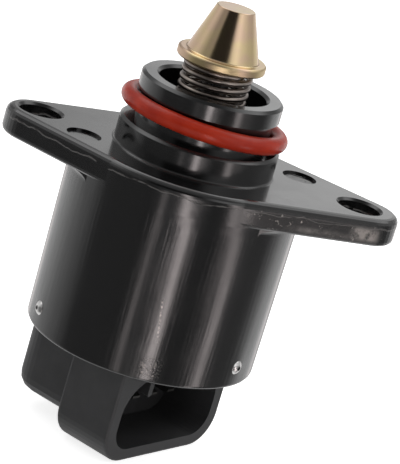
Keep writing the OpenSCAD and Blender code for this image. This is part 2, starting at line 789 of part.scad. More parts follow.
module end_cap() {
    plug_low = rim_z - fit_gap;
    seal_half = cap_seal_d / 2 + touch_gap;
    color(black_plastic) difference() {
        union() {
            rotate_extrude($fn = round_fn) polygon([
                [0, plug_top], [plug_r, plug_top], [plug_r, cap_seal_z + seal_half],
                [cap_groove_r, cap_seal_z + seal_half], [cap_groove_r, cap_seal_z - seal_half],
                [plug_r, cap_seal_z - seal_half], [plug_r, plug_low], [0, plug_low]]);
            rotate([0, 0, conn_az]) {
                connector_block();
                difference() {
                    shroud();
                    towards_mouth(mouth_x - socket_deep, mouth_x + cut) socket_outline();
                }
                key_rib();
            }
        }
        translate([0, 0, bush_rear_low - touch_gap])
            cylinder(h = bush_rear_h + cut, d = bush_d, $fn = fine_fn);
        for (i = [1 : 4]) terminal(i);
        at_pins() translate([0, 0, cavity_r - pin_len])
            cylinder(h = pin_len + cut, d = pin_d + 2 * fit_gap, $fn = fine_fn);
    }
}

module cap_seal() {
    color(black_plastic) translate([0, 0, cap_seal_z]) rotate_extrude($fn = round_fn)
        translate([cap_seal_r, 0]) circle(d = cap_seal_d, $fn = 24);
}

module terminal_1() { color(steel) terminal(1); }
module terminal_2() { color(steel) terminal(2); }
module terminal_3() { color(steel) terminal(3); }
module terminal_4() { color(steel) terminal(4); }

// Each pin has a domed head that is punched in its middle
module retainer_pins() {
    surface_r = body_rim_d / 2 + (body_d - body_rim_d) / 2 * (pin_z - rim_z) / (body_len - flange_t);
    inner = cavity_r - pin_len + 4 * fit_gap;
    dome_r = (pow(pin_d / 2, 2) + pow(pin_dome, 2)) / (2 * pin_dome);
    edge_turn = asin(pin_d / 2 / dome_r);
    mark_turn = asin(pin_mark_d / 2 / dome_r);
    color(steel) at_pins() rotate_extrude($fn = fine_fn) polygon(concat(
        [[0, inner], [pin_d / 2, inner]],
        arc(0, surface_r + pin_dome - dome_r, dome_r, 90 - edge_turn, 90 - mark_turn, 6),
        [[0, surface_r + pin_dome - pin_mark_d]]
    ));
}

housing();
o_ring();
pintle();
pintle_spring();
lead_screw();
guide_bush();
bearing_outer_race();
bearing_inner_race();
bearing_balls();
bearing_cage();
rotor_magnet();
rotor_hub();
rotor_nut();
rear_bush();
stator_cup_front();
stator_cup_rear();
pole_plate_front();
pole_plate_rear();
bobbin_front();
bobbin_rear();
winding_front();
winding_rear();
wave_washer();
end_cap();
cap_seal();
terminal_1();
terminal_2();
terminal_3();
terminal_4();
retainer_pins();
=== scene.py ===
import json
import math

import bpy
from mathutils import Matrix, Vector


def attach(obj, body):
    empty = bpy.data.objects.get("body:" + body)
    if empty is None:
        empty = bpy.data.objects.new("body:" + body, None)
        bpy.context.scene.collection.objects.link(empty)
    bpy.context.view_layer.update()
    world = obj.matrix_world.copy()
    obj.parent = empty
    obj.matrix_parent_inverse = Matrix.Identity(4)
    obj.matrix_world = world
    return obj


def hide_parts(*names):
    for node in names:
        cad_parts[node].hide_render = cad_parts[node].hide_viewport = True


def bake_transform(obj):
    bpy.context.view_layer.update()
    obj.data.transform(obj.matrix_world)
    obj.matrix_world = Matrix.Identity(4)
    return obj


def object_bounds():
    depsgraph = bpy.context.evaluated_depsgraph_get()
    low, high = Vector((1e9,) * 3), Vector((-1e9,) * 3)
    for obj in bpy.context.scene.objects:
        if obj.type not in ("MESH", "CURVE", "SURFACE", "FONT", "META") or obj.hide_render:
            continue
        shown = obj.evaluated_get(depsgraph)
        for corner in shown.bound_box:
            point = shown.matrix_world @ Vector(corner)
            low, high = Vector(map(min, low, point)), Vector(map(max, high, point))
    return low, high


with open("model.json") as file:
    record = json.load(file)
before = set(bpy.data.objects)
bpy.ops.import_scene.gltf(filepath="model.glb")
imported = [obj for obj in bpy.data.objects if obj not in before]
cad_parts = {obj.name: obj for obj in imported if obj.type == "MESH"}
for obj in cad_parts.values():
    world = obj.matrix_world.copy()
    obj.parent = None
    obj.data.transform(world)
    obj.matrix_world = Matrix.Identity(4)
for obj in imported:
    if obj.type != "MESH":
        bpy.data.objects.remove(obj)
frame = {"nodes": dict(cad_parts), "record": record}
cad_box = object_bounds()

MM = 0.001

# Sizes that the valve's own source sets, in metres
FLANGE_T = 3.8 * MM
SIDE_R = 16.5 * MM
RIM_Z = -27.8 * MM
DIMPLE_R = 15.8 * MM
DIMPLE_AZ = 20
DIMPLE_D = 4.9 * MM
PIN_COUNT = 3
PIN_AZ = -30
PIN_Z = -24.75 * MM
GUIDE_TOP = 3.0 * MM
COLLAR_LOW = 13.6 * MM
COLLAR_TOP = COLLAR_LOW + 1.3 * MM
COLLAR_R = 6.2 * MM
TIP_Z = 21.6 * MM
SCREW_R = 2.0 * MM
SCREW_SEAT = 4.4 * MM
SPRING_R = 4.95 * MM
SPRING_WIRE_R = 0.42 * MM
SPRING_COIL_R = SPRING_R - SPRING_WIRE_R
SPRING_TURNS = 9
SPRING_GAP = 0.04 * MM
COIL_GAP = 0.02 * MM
SPIGOT_R = SPRING_R - 2 * SPRING_WIRE_R - 0.41 * MM
SPIGOT_H = 1.4 * MM

# Inside of the connector's socket, where painted shade goes: the direction it opens in, its back wall, half
# width, floor and roof
SOCKET_AZ = -33
SOCKET_BACK = -0.3 * MM
SOCKET_HALF_W = 10.45 * MM
SOCKET_LOW = -40.1 * MM
SOCKET_TOP = -29.6 * MM

# Pintle's cone as the photo shows it: radius of its tip, and how much the radius grows for each step down
TIP_R = 2.68 * MM
CONE_SLOPE = 0.356

# Marks on the casting: the rubbed patch over the rim, the dotted scuff and the flange's rough side
RUBBED_AZ = -79.5
SCUFF_AZ = -81.5
SCUFF_Z = -18.5 * MM
SCUFF_LEAN = 0.15
ROUGH_SIDE_AZ = -62.35

# Compass direction in which the spring's upper end lies
SPRING_END_AZ = -48


def compass(azimuth_deg):
    """Level direction of length 1, with 0 degrees along +X."""
    a = math.radians(azimuth_deg)
    return Vector((math.cos(a), math.sin(a), 0.0))


# Shader building blocks

def put(tree, socket, value):
    """Sets a socket to a number, or links it to another node's output."""
    if hasattr(value, "is_linked"):
        tree.links.new(value, socket)
    else:
        socket.default_value = value


def math_node(tree, operation, *values):
    """One calculation, with numbers or other nodes' outputs going in."""
    node = tree.nodes.new("ShaderNodeMath")
    node.operation = operation
    for socket, value in zip(node.inputs, values):
        put(tree, socket, value)
    return node.outputs[0]


def total(tree, *values):
    result = values[0]
    for value in values[1:]:
        result = math_node(tree, "ADD", result, value)
    return result


def product(tree, *values):
    result = values[0]
    for value in values[1:]:
        result = math_node(tree, "MULTIPLY", result, value)
    return result


def remap(tree, value, low, high, to_low=0.0, to_high=1.0):
    """Smooth step of a value between two limits."""
    node = tree.nodes.new("ShaderNodeMapRange")
    node.interpolation_type = "SMOOTHSTEP"
    labels = ("Value", "From Min", "From Max", "To Min", "To Max")
    for label, setting in zip(labels, (value, low, high, to_low, to_high)):
        put(tree, node.inputs[label], setting)
    return node.outputs[0]


def band(tree, value, low, high, soft):
    """1 between two limits and 0 outside them, with soft edges."""
    rise = remap(tree, value, low - soft, low + soft)
    fall = remap(tree, value, high + soft, high - soft)
    return product(tree, rise, fall)


def along(tree, place, direction):
    """Distance of a place from the origin along one direction."""
    node = tree.nodes.new("ShaderNodeVectorMath")
    node.operation = "DOT_PRODUCT"
    put(tree, node.inputs[0], place)
    node.inputs[1].default_value = direction
    return node.outputs["Value"]


def stretched(tree, place, factors):
    """A place with each of its three parts times its own factor."""
    node = tree.nodes.new("ShaderNodeVectorMath")
    node.operation = "MULTIPLY"
    put(tree, node.inputs[0], place)
    node.inputs[1].default_value = factors
    return node.outputs[0]


def parts_of(tree, vector):
    """The x, y and z of a vector."""
    node = tree.nodes.new("ShaderNodeSeparateXYZ")
    put(tree, node.inputs[0], vector)
    return node.outputs


def object_place(tree):
    """Where a point of the surface lies in the part's own frame."""
    return tree.nodes.new("ShaderNodeTexCoord").outputs["Object"]


def noise(tree, place, scale, detail=3.0, rough=0.5):
    """Cloudy pattern from 0 to 1, with about so many patches to a metre."""
    node = tree.nodes.new("ShaderNodeTexNoise")
    settings = {"Vector": place, "Scale": scale, "Detail": detail, "Roughness": rough}
    for label, setting in settings.items():
        put(tree, node.inputs[label], setting)
    return node.outputs["Fac"]


def mix_colours(tree, share, low, high):
    """A colour between two, from the first at share 0 to the second at share 1."""
    node = tree.nodes.new("ShaderNodeMix")
    node.data_type = "RGBA"
    put(tree, node.inputs["Factor"], share)
    colours = [socket for socket in node.inputs if socket.type == "RGBA"]
    for socket, value in zip(colours, (low, high)):
        put(tree, socket, value if hasattr(value, "is_linked") else (*value, 1.0))
    return [socket for socket in node.outputs if socket.type == "RGBA"][0]


def new_group(name, inputs, outputs):
    """An empty shader group with named numbers going in and coming out."""
    group = bpy.data.node_groups.new(name, "ShaderNodeTree")
    for label, value in inputs.items():
        socket = group.interface.new_socket(label, in_out="INPUT", socket_type="NodeSocketFloat")
        socket.default_value = value
    for label in outputs:
        group.interface.new_socket(label, in_out="OUTPUT", socket_type="NodeSocketFloat")
    return group, group.nodes.new("NodeGroupInput").outputs, group.nodes.new("NodeGroupOutput").inputs


def grain_group():
    """Fine surface grain over slow unevenness, both as one height."""
    group, given, result = new_group(
        "fine_grain",
        {"Grain scale": 2500.0, "Wave scale": 220.0, "Grain": 0.5, "Wave": 0.5},
        ("Height", "Patches"),
    )
    place = object_place(group)
    fine = noise(group, place, given["Grain scale"])
    slow = noise(group, place, given["Wave scale"], 2.0)
    height = total(group, product(group, fine, given["Grain"]), product(group, slow, given["Wave"]))
    group.links.new(height, result["Height"])
    group.links.new(slow, result["Patches"])
    return group


def turned_group():
    """Fine rings round the valve axis, as a turning tool leaves them."""
    group, given, result = new_group(
        "turned_rings", {"Ring rate": 30000.0, "Wobble": 0.5}, ("Height",))
    place = object_place(group)
    x, y, z = parts_of(group, place)
    radius = math_node(group, "SQRT", total(group, product(group, x, x), product(group, y, y)))
    sway = product(group, noise(group, place, 900.0, 2.0), given["Wobble"])
    phase = total(group, product(group, total(group, z, radius), given["Ring rate"]), sway)
    group.links.new(math_node(group, "SINE", phase), result["Height"])
    return group


GRAIN = grain_group()
TURNED = turned_group()


class Finish:
    """One material with its shader, and short calls that wire detail into it."""

    def __init__(self, name, colour, roughness, metallic=0.0, **sockets):
        self.material = bpy.data.materials.new(name)
        self.material.use_nodes = True
        self.tree = self.material.node_tree
        self.shader = self.tree.nodes["Principled BSDF"]
        self.shader.inputs["Base Color"].default_value = (*colour, 1.0)
        self.shader.inputs["Roughness"].default_value = roughness
        self.shader.inputs["Metallic"].default_value = metallic
        for label, value in sockets.items():
            self.shader.inputs[label.replace("_", " ")].default_value = value
        self.place = object_place(self.tree)

    def use(self, group, **inputs):
        """Places a shared effect with this material's own values, and gives its outputs."""
        node = self.tree.nodes.new("ShaderNodeGroup")
        node.node_tree = group
        for label, value in inputs.items():
            node.inputs[label.replace("_", " ")].default_value = value
        return node.outputs

    def bump(self, height, distance):
        """Adds relief, over any relief that the material already has."""
        node = self.tree.nodes.new("ShaderNodeBump")
        node.inputs["Distance"].default_value = distance
        put(self.tree, node.inputs["Height"], height)
        normal = self.shader.inputs["Normal"]
        if normal.is_linked:
            put(self.tree, node.inputs["Normal"], normal.links[0].from_socket)
        put(self.tree, normal, node.outputs[0])

    def feed(self, label, output):
        """Links an output to one of the shader's sockets."""
        put(self.tree, self.shader.inputs[label], output)


# Finishes of the valve's pieces

BLACK_COAT = (0.008, 0.008, 0.0083)
BARE_METAL = (0.38, 0.35, 0.33)
COAT_WEIGHT = 0.6


def flange_flash(tree, place):
    """Ragged line that the two halves of the mould left round the flange's edge."""
    z = parts_of(tree, place)[2]
    wander = product(tree, math_node(tree, "SUBTRACT", noise(tree, place, 260.0, 3.0), 0.5), 1.6 * MM)
    line = band(tree, total(tree, z, wander), -1.30 * MM, -1.16 * MM, 0.07 * MM)
    broken = remap(tree, noise(tree, place, 420.0, 2.0), 0.36, 0.52)
    return product(tree, line, broken)


def rough_side(tree, place, start, end, end_soft, low, high, soft):
    """1 on a stretch of the flange's rough side, between two distances along it and two heights in mm."""
    distance = along(tree, place, compass(ROUGH_SIDE_AZ + 90))
    return product(
        tree,
        remap(tree, along(tree, place, compass(ROUGH_SIDE_AZ)), SIDE_R - 0.5 * MM, SIDE_R - 0.2 * MM),
        band(tree, distance, start * MM, end * MM, end_soft * MM),
        band(tree, parts_of(tree, place)[2], low * MM, high * MM, soft * MM),
    )


def round_from(tree, place, azimuth_deg):
    """Distance to the side of a compass direction, and 1 on that half of the body."""
    sideways = along(tree, place, compass(azimuth_deg + 90))
    return sideways, remap(tree, along(tree, place, compass(azimuth_deg)), 0, SIDE_R / 2)


def rubbed_patch(tree, place):
    """Where the coat on the body is rubbed, just above the rim."""
    sideways, this_half = round_from(tree, place, RUBBED_AZ)
    near_rim = band(tree, parts_of(tree, place)[2], RIM_Z + 0.9 * MM, RIM_Z + 3.4 * MM, 0.5 * MM)
    return product(tree, near_rim, this_half, band(tree, sideways, -1.3 * MM, 1.3 * MM, 0.5 * MM))


def scuff_dots(tree, place):
    """Light dots along a leaning scuff on the body, and fainter ones over the rubbed patch."""
    sideways, this_half = round_from(tree, place, SCUFF_AZ)
    from_middle = math_node(tree, "SUBTRACT", parts_of(tree, place)[2], SCUFF_Z)
    off_line = total(tree, sideways, product(tree, from_middle, SCUFF_LEAN))
    line = product(
        tree,
        band(tree, off_line, -0.1 * MM, 0.1 * MM, 0.1 * MM),
        band(tree, from_middle, -3.6 * MM, 3.4 * MM, 0.4 * MM),
        this_half,
    )
    dots = remap(tree, noise(tree, place, 2800.0, 3.0, 0.6), 0.5, 0.62)
    patch = product(tree, rubbed_patch(tree, place), 0.65)
    return product(tree, dots, math_node(tree, "MAXIMUM", line, patch), 0.8)


def dimple_floor(tree, place):
    """1 on the rough floor of the round dimple in the flange's top."""
    x, y, z = parts_of(tree, place)
    dimple = compass(DIMPLE_AZ) * DIMPLE_R
    off_x = math_node(tree, "SUBTRACT", x, dimple.x)
    off_y = math_node(tree, "SUBTRACT", y, dimple.y)
    apart = math_node(tree, "SQRT", total(tree, product(tree, off_x, off_x), product(tree, off_y, off_y)))
    return product(
        tree,
        remap(tree, apart, DIMPLE_D / 2, DIMPLE_D / 2 - 0.5 * MM),
        band(tree, z, -2.0 * MM, -0.2 * MM, 0.1 * MM),
    )


def cast_black():
    """Semi-gloss black coat, streaked along the body, rubbed near the rim and worn on the flange's side."""
    finish = Finish("cast_black", BLACK_COAT, 0.24, Coat_Weight=COAT_WEIGHT, Coat_Roughness=0.08)
    tree, place = finish.tree, finish.place
    z = parts_of(tree, place)[2]

    grain = finish.use(GRAIN, Grain_scale=1700.0, Wave_scale=170.0, Grain=0.25, Wave=0.75)
    finish.bump(grain["Height"], 0.03 * MM)

    streaks = noise(tree, stretched(tree, place, (1.0, 1.0, 0.05)), 2200.0, 2.0)
    on_body = remap(tree, z, -FLANGE_T, -FLANGE_T - 1.5 * MM)
    finish.bump(product(tree, streaks, on_body), 0.03 * MM)
    finish.bump(product(tree, noise(tree, place, 3600.0, 2.0), rubbed_patch(tree, place)), 0.05 * MM)

    rough = rough_side(tree, place, 3, 22, 1.5, -3.3, -1.0, 0.3)
    pits = remap(tree, noise(tree, place, 1300.0, 4.0, 0.6), 0.42, 0.62)
    finish.bump(product(tree, pits, rough), 0.05 * MM)
    flash = flange_flash(tree, place)
    finish.bump(flash, 0.06 * MM)

    worn = product(
        tree,
        rough_side(tree, place, 18.2, 22, 0.9, -3.0, -1.3, 0.4),
        remap(tree, noise(tree, place, 800.0, 4.0, 0.65), 0.3, 0.6),
    )
    scraped = product(
        tree,
        rough_side(tree, place, 9, 18, 2.5, -3.1, -2.4, 0.35),
        remap(tree, noise(tree, place, 600.0, 4.0, 0.6), 0.3, 0.7, 0.1, 0.5),
    )
    specks = product(tree, rough, remap(tree, noise(tree, place, 900.0, 3.0, 0.7), 0.60, 0.68))
    bare = worn
    for mark in (specks, scraped, product(tree, flash, 0.3), scuff_dots(tree, place)):
        bare = math_node(tree, "MAXIMUM", bare, mark)
    finish.feed("Base Color", mix_colours(tree, bare, BLACK_COAT, BARE_METAL))
    finish.feed("Metallic", product(tree, bare, 0.7))
    dull = math_node(tree, "MAXIMUM", bare, product(tree, rough, 0.7))
    finish.feed("Coat Weight", remap(tree, dull, 0.0, 0.9, COAT_WEIGHT, 0.0))

    finish.bump(product(tree, noise(tree, place, 900.0, 3.0), dimple_floor(tree, place)), 0.6 * MM)
    smears = remap(tree, noise(tree, place, 120.0, 4.0, 0.6), 0.35, 0.7, 0.17, 0.26)
    finish.feed("Roughness", total(tree, smears, product(tree, rough, 0.18)))
    return finish.material


def seal_red():
    """Silicone with a satin skin, a little uneven from the mould."""
    finish = Finish("seal_red", (0.47, 0.03, 0.011), 0.26, Specular_IOR_Level=0.25)
    grain = finish.use(GRAIN, Grain_scale=1400.0, Wave_scale=260.0, Grain=0.4, Wave=0.6)
    shade = remap(finish.tree, grain["Patches"], 0.3, 0.7)
    finish.feed("Base Color", mix_colours(finish.tree, shade, (0.46, 0.027, 0.01), (0.58, 0.043, 0.016)))
    finish.bump(grain["Height"], 0.05 * MM)
    return finish.material


def pintle_brass():
    """Turned and yellow passivated, with a pink tinge in places and a duller collar."""
    finish = Finish("pintle_brass", (0.72, 0.55, 0.33), 0.18, metallic=1.0)
    tree, place = finish.tree, finish.place
    pink = remap(tree, noise(tree, place, 260.0, 2.0), 0.35, 0.65)
    finish.feed("Base Color", mix_colours(tree, pink, (0.70, 0.56, 0.31), (0.68, 0.49, 0.35)))
    z = parts_of(tree, place)[2]
    finish.feed("Roughness", remap(tree, z, COLLAR_TOP - 0.2 * MM, COLLAR_TOP + 0.2 * MM, 0.4, 0.17))
    rings = finish.use(TURNED, Ring_rate=40000.0, Wobble=0.6)
    finish.bump(rings["Height"], 0.0006 * MM)
    finish.bump(noise(tree, place, 700.0, 3.0), 0.008 * MM)
    return finish.material


def spring_steel():
    """Dark drawn wire, a little uneven in shade."""
    finish = Finish("spring_steel", (0.34, 0.3, 0.27), 0.32, metallic=1.0)
    grain = finish.use(GRAIN, Grain_scale=3000.0, Wave_scale=500.0, Grain=0.5, Wave=0.5)
    shade = remap(finish.tree, grain["Patches"], 0.35, 0.65)
    finish.feed("Base Color", mix_colours(finish.tree, shade, (0.29, 0.25, 0.23), (0.39, 0.345, 0.31)))
    finish.bump(grain["Height"], 0.02 * MM)
    return finish.material


def socket_shade_mask(tree, place):
    """Mask of the painted shade: 1 at the back of the connector's socket, 0 at its mouth and outside it."""
    forward = along(tree, place, compass(SOCKET_AZ))
    sideways = along(tree, place, compass(SOCKET_AZ + 90))
    height = parts_of(tree, place)[2]
    skin = 0.1 * MM
    return product(
        tree,
        remap(tree, forward, SOCKET_BACK - 0.6 * MM, SOCKET_BACK - 0.3 * MM),
        remap(tree, forward, SOCKET_BACK + 7 * MM, SOCKET_BACK + 2 * MM),
        band(tree, sideways, -SOCKET_HALF_W - skin, SOCKET_HALF_W + skin, skin / 2),
        band(tree, height, SOCKET_LOW - skin, SOCKET_TOP + skin, skin / 2),
    )


def cap_plastic():
    """Matte moulded plastic, a little uneven in tone, with painted shade deep in the socket."""
    finish = Finish("cap_plastic", (0.062, 0.062, 0.064), 0.5, Specular_IOR_Level=0.4)
    tree = finish.tree
    grain = finish.use(GRAIN, Grain_scale=2600.0, Wave_scale=300.0, Grain=0.7, Wave=0.3)
    shade = remap(tree, grain["Patches"], 0.3, 0.7)
    outside = mix_colours(tree, shade, (0.057, 0.057, 0.059), (0.067, 0.067, 0.069))
    # Painted shade: the plastic's colour goes near black towards the back of the socket, where little light
    # reaches
    socket_shade = product(tree, socket_shade_mask(tree, finish.place), 0.55)
    finish.feed("Base Color", mix_colours(tree, socket_shade, outside, (0.012, 0.012, 0.012)))
    finish.feed("Roughness", remap(tree, grain["Patches"], 0.3, 0.7, 0.46, 0.56))
    finish.bump(grain["Height"], 0.03 * MM)
    return finish.material


def pin_steel():
    """Bright scuffed pins, each with a near-black spot at the middle of its outer end."""
    finish = Finish("pin_steel", (0.72, 0.71, 0.7), 0.2, metallic=1.0)
    tree, place = finish.tree, finish.place
    height = math_node(tree, "SUBTRACT", parts_of(tree, place)[2], PIN_Z)
    dark_spots = []
    for number in range(PIN_COUNT):
        azimuth = PIN_AZ + number * 360 / PIN_COUNT
        sideways = along(tree, place, compass(azimuth + 90))
        apart = math_node(
            tree, "SQRT", total(tree, product(tree, sideways, sideways), product(tree, height, height)))
        facing = remap(tree, along(tree, place, compass(azimuth)), SIDE_R - 3 * MM, SIDE_R - 2 * MM)
        dark_spots.append(product(tree, remap(tree, apart, 0.36 * MM, 0.26 * MM), facing))
    finish.feed("Base Color", mix_colours(tree, total(tree, *dark_spots), (0.72, 0.71, 0.7), (0.03, 0.03, 0.03)))
    scuffs = finish.use(GRAIN, Grain_scale=2500.0, Wave_scale=1200.0, Grain=0.3, Wave=0.7)
    finish.bump(scuffs["Height"], 0.06 * MM)
    return finish.material


def plain_metal(name, colour, roughness):
    """Metal with a fine grain and patches of more and less gloss."""
    finish = Finish(name, colour, roughness, metallic=1.0)
    grain = finish.use(GRAIN, Grain_scale=4000.0, Wave_scale=600.0, Grain=0.5, Wave=0.5)
    uneven = remap(finish.tree, grain["Patches"], 0.3, 0.7, roughness * 0.8, roughness * 1.2)
    finish.feed("Roughness", uneven)
    finish.bump(grain["Height"], 0.01 * MM)
    return finish.material


def turned_metal(name, colour, roughness):
    """Metal with the rings that turning or grinding leaves."""
    finish = Finish(name, colour, roughness, metallic=1.0)
    rings = finish.use(TURNED, Ring_rate=30000.0, Wobble=0.5)
    finish.bump(rings["Height"], 0.003 * MM)
    return finish.material


def plain_moulding(name, colour, roughness):
    """Moulded plastic or rubber with a fine grain."""
    finish = Finish(name, colour, roughness)
    grain = finish.use(GRAIN, Grain_scale=3000.0, Wave_scale=400.0, Grain=0.6, Wave=0.4)
    uneven = remap(finish.tree, grain["Patches"], 0.3, 0.7, roughness * 0.9, roughness * 1.1)
    finish.feed("Roughness", uneven)
    finish.bump(grain["Height"], 0.02 * MM)
    return finish.material


FINISHES = {
    "cast_black": cast_black(),
    "seal_red": seal_red(),
    "pintle_brass": pintle_brass(),
    "spring_steel": spring_steel(),
    "screw_steel": plain_metal("screw_steel", (0.55, 0.55, 0.56), 0.25),
    "white_nylon": plain_moulding("white_nylon", (0.82, 0.81, 0.76), 0.5),
    "bearing_steel": turned_metal("bearing_steel", (0.7, 0.71, 0.73), 0.15),
    "magnet_ferrite": plain_metal("magnet_ferrite", (0.14, 0.14, 0.15), 0.55),
    "hub_plastic": plain_moulding("hub_plastic", (0.1, 0.1, 0.1), 0.5),
    "nut_brass": turned_metal("nut_brass", (0.75, 0.58, 0.3), 0.3),
    "bush_bronze": turned_metal("bush_bronze", (0.6, 0.42, 0.22), 0.4),
    "stator_steel": plain_metal("stator_steel", (0.5, 0.51, 0.52), 0.35),
    "winding_copper": plain_metal("winding_copper", (0.65, 0.3, 0.12), 0.35),
    "cap_plastic": cap_plastic(),
    "seal_black": plain_moulding("seal_black", (0.03, 0.03, 0.03), 0.45),
    # The tin blades get a near-black colour: painted shade of the deep socket they sit in
    "terminal_tin": plain_metal("terminal_tin", (0.12, 0.118, 0.112), 0.5),
    "pin_steel": pin_steel(),
}


def dress(obj, slot_name):
    """Gives a solid the finish of its material slot."""
    obj.data.materials.clear()
    obj.data.materials.append(FINISHES[slot_name])


for part in frame["record"]["subparts"]:
    dress(frame["nodes"][part["node"]], part["material_slot"])


# Pieces modelled here

def mesh_object(name, points, faces, smooth=True):
    """A new piece in the scene from its points and faces."""
    mesh = bpy.data.meshes.new(name)
    mesh.from_pydata(points, [], faces)
    mesh.validate()
    mesh.polygons.foreach_set("use_smooth", [smooth] * len(mesh.polygons))
    obj = bpy.data.objects.new(name, mesh)
    bpy.context.scene.collection.objects.link(obj)
    return obj


def rounded_outline(corners, steps=6, beside=0.05 * MM):
    """Outline through corners of (radius, height, rounding).

    A point close beside each end of a rounding keeps the faces next to it shaded flat.
    """
    outline = []
    for k, (r, z, rounding) in enumerate(corners):
        here = Vector((r, z))
        if rounding == 0:
            outline.append(here)
            continue
        before = (Vector(corners[k - 1][:2]) - here).normalized()
        after = (Vector(corners[k + 1][:2]) - here).normalized()
        opening = before.angle(after)
        reach = rounding / math.tan(opening / 2)
        middle = here + (before + after).normalized() * rounding / math.sin(opening / 2)
        start = here + before * reach
        end = here + after * reach
        outline.append(start + before * beside)
        for i in range(steps + 1):
            spoke = (start - middle).lerp(end - middle, i / steps)
            outline.append(middle + spoke.normalized() * rounding)
        outline.append(end + after * beside)
    return outline


def turned_piece(name, corners, sides=192):
    """Solid of an outline turned round the valve axis, where its first and last points lie."""
    outline = rounded_outline(corners)
    inner = outline[1:-1]
    points = [(0, 0, outline[0].y), (0, 0, outline[-1].y)]
    for k in range(sides):
        out = compass(360 * k / sides)
        points.extend((out.x * p.x, out.y * p.x, p.y) for p in inner)
    count = len(inner)
    faces = []
    for k in range(sides):
        here, there = 2 + k * count, 2 + (k + 1) % sides * count
        faces.append((0, there, here))
        faces.append((1, here + count - 1, there + count - 1))
        for i in range(count - 1):
            faces.append((here + i, there + i, there + i + 1, here + i + 1))
    piece = mesh_object(name, points, faces)
    piece.data.set_sharp_from_angle(angle=math.radians(40))
    return piece


def turned_pintle():
    """The pintle with its cone down to a small fillet on the collar, as in the photo."""
    foot_r = TIP_R + (TIP_Z - COLLAR_TOP) * CONE_SLOPE
    piece = turned_piece("turned_pintle", (
        (0, COLLAR_LOW + SCREW_SEAT, 0),
        (SCREW_R, COLLAR_LOW + SCREW_SEAT, 0),
        (SCREW_R, COLLAR_LOW - SPIGOT_H, 0),
        (SPIGOT_R, COLLAR_LOW - SPIGOT_H, 0.1 * MM),
        (SPIGOT_R, COLLAR_LOW, 0),
        (COLLAR_R, COLLAR_LOW, 0.35 * MM),
        (COLLAR_R, COLLAR_TOP, 0.35 * MM),
        (foot_r, COLLAR_TOP, 0.25 * MM),
        (TIP_R, TIP_Z, 0.12 * MM),
        (0, TIP_Z, 0),
    ))
    piece.data.materials.append(FINISHES["pintle_brass"])
    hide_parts("pintle")
    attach(piece, "plunger")


def spring_height(turn):
    """Height of the wire's middle after so many turns: close coils at both ends, even ones between."""
    low = GUIDE_TOP + SPRING_GAP + SPRING_WIRE_R
    high = COLLAR_LOW - SPRING_GAP - SPRING_WIRE_R
    close = 2 * SPRING_WIRE_R + COIL_GAP
    rest = (high - low - 2 * close) / (SPRING_TURNS - 2)
    if turn < 1:
        return low + close * turn
    if turn > SPRING_TURNS - 1:
        return high - close * (SPRING_TURNS - turn)
    return low + close + rest * (turn - 1)


def coil_spring(per_turn=72, sides=14):
    """Round wire on a helix, in place of the coarse one."""
    steps = SPRING_TURNS * per_turn
    points, faces = [], []
    for k in range(steps + 1):
        turn = k / per_turn
        outward = compass(SPRING_END_AZ + 360 * turn)
        z = spring_height(turn)
        for i in range(sides):
            b = 2 * math.pi * i / sides
            place = outward * (SPRING_COIL_R + SPRING_WIRE_R * math.cos(b))
            points.append((place.x, place.y, z + SPRING_WIRE_R * math.sin(b)))
    for k in range(steps):
        for i in range(sides):
            j = (i + 1) % sides
            faces.append((k * sides + i, k * sides + j, (k + 1) * sides + j, (k + 1) * sides + i))
    faces.append(tuple(reversed(range(sides))))
    faces.append(tuple(steps * sides + i for i in range(sides)))
    spring = mesh_object("coil_spring", points, faces)
    spring.data.materials.append(FINISHES["spring_steel"])
    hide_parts("pintle_spring")
    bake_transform(spring)


turned_pintle()
coil_spring()


# Floor, light and camera

def stage_floor():
    """White floor under the part. Glossy rays pass through it, so the casting mirrors the room instead."""
    lowest = cad_box[0].z
    half = 3.0
    corners = [(-half, -half), (half, -half), (half, half), (-half, half)]
    floor = mesh_object("floor", [(x, y, lowest) for x, y in corners], [(0, 1, 2, 3)], smooth=False)
    material = bpy.data.materials.new("floor_white")
    material.use_nodes = True
    tree = material.node_tree
    shader = tree.nodes["Principled BSDF"]
    shader.inputs["Base Color"].default_value = (0.9, 0.9, 0.9, 1.0)
    shader.inputs["Roughness"].default_value = 0.9
    shader.inputs["Specular IOR Level"].default_value = 0.1
    shader.inputs["Emission Color"].default_value = (1.0, 1.0, 1.0, 1.0)
    camera_sees = tree.nodes.new("ShaderNodeLightPath").outputs["Is Camera Ray"]
    added_white = 0.8
    put(tree, shader.inputs["Emission Strength"], product(tree, camera_sees, added_white))
    floor.data.materials.append(material)
    floor.visible_glossy = False


# Brightness of the studio by compass direction in degrees, below and above the horizon.
# The camera stands at -89 degrees, where the room above the horizon is dark
LOW_ROOM = (
    (-180, 0.55), (-168, 0.32), (-163, 0.15), (-128, 0.16), (-115, 0.14), (-100, 0.26), (-70, 0.32),
    (-56, 0.13), (-42, 0.14), (-15, 0.32), (0, 0.2), (15, 0.17), (28, 0.45), (40, 0.85),
    (60, 0.75), (80, 0.4), (100, 0.4), (122, 0.75), (150, 0.82), (180, 0.55),
)
HIGH_ROOM = (
    (-180, 0.75), (-150, 0.32), (-130, 0.34), (-122, 0.02), (-69, 0.02), (-54, 0.95), (-40, 1.15),
    (-22, 0.85), (5, 0.6), (30, 0.56), (50, 0.3), (76, 0.55), (86, 1.0), (91, 0.9),
    (98, 0.4), (125, 0.25), (150, 0.6), (180, 0.75),
)
# Brightness round the top of the room, straight overhead, and from the table below
SKYLIGHT = 1.7
ZENITH = 0.6
TABLE = 0.9
# Share of the overhead light that comes from the camera's side
FRONT_SHARE = 0.2
# Soft strips: direction of the low and the high end, half width, softness, brightness, height of the top
STRIPS = (
    (-103, -103, 2, 3.5, 2.0, -16.2),
    (-73, -82.5, 4, 3.5, 5.9, 0),
    (-19.5, -35.5, 4.5, 4.5, 3.2, 0),
    (68, 68, 5, 5, 0.5, 0),
    (112, 112, 5, 5, 0.5, 0),
)
WARM_WHITE = (1.0, 0.9, 0.89)


